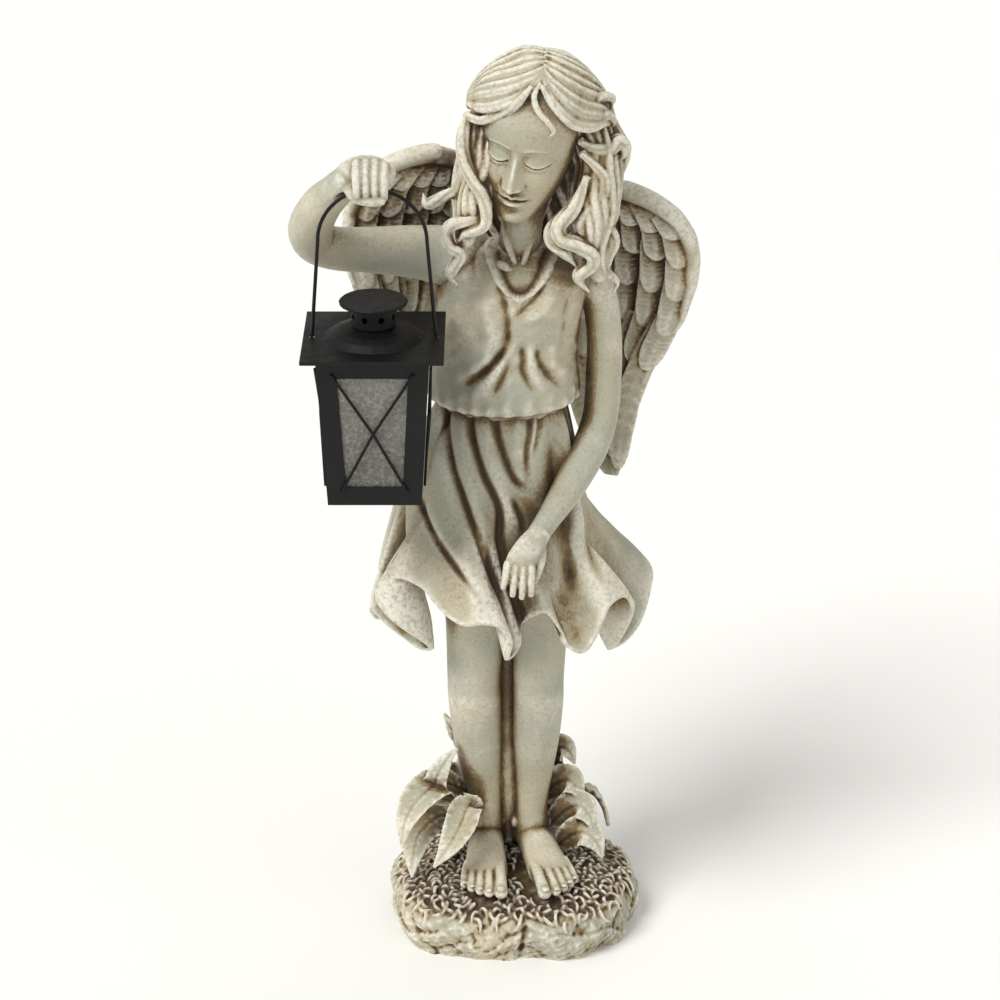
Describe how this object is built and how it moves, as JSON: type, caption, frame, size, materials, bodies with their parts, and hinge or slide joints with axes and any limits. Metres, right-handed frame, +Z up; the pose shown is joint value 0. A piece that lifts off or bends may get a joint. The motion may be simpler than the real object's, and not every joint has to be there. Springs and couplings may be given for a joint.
{
  "type": "garden angel statue with lantern",
  "caption": "Standing cast-stone angel girl on a rock, one arm raised to hold up a hanging metal candle lantern; stands on its flat underside.",
  "frame": {"origin": "middle of the rock's flat underside", "axes": "+Z up through the figure, -Y the way the figure faces, +X to the viewer's right"},
  "size_m": [0.2504, 0.1807, 0.5962],
  "materials": {
    "cast_stone": "matt cast stone with a brown antique wash",
    "black_paint": "satin black paint on sheet steel",
    "black_wire": "satin black paint on steel wire",
    "frosted_glass": "frosted, crackled glass"
  },
  "bodies": {
    "statue": {"angel_statue": "cast_stone"},
    "bail": {"lantern_bail": "black_wire"},
    "lantern": {"lantern_body": "black_paint", "lantern_roof": "black_paint", "lantern_chimney": "black_paint", "lantern_cap": "black_paint", "lantern_pane_front": "frosted_glass", "lantern_pane_right": "frosted_glass", "lantern_pane_back": "frosted_glass", "lantern_pane_left": "frosted_glass", "lantern_cross_front": "black_wire", "lantern_cross_right": "black_wire", "lantern_cross_back": "black_wire", "lantern_cross_left": "black_wire"}
  },
  "joints": [
    {"name": "bail_swing", "type": "hinge", "parent": "statue", "child": "bail", "pos_m": [-0.084, -0.069, 0.5265], "axis": [1, 0, 0], "range_deg": [-22, 3]},
    {"name": "lantern_swing", "type": "hinge", "parent": "bail", "child": "lantern", "pos_m": [-0.084, -0.069, 0.433], "axis": [1, 0, 0], "range_deg": [-30, 6]}
  ]
}
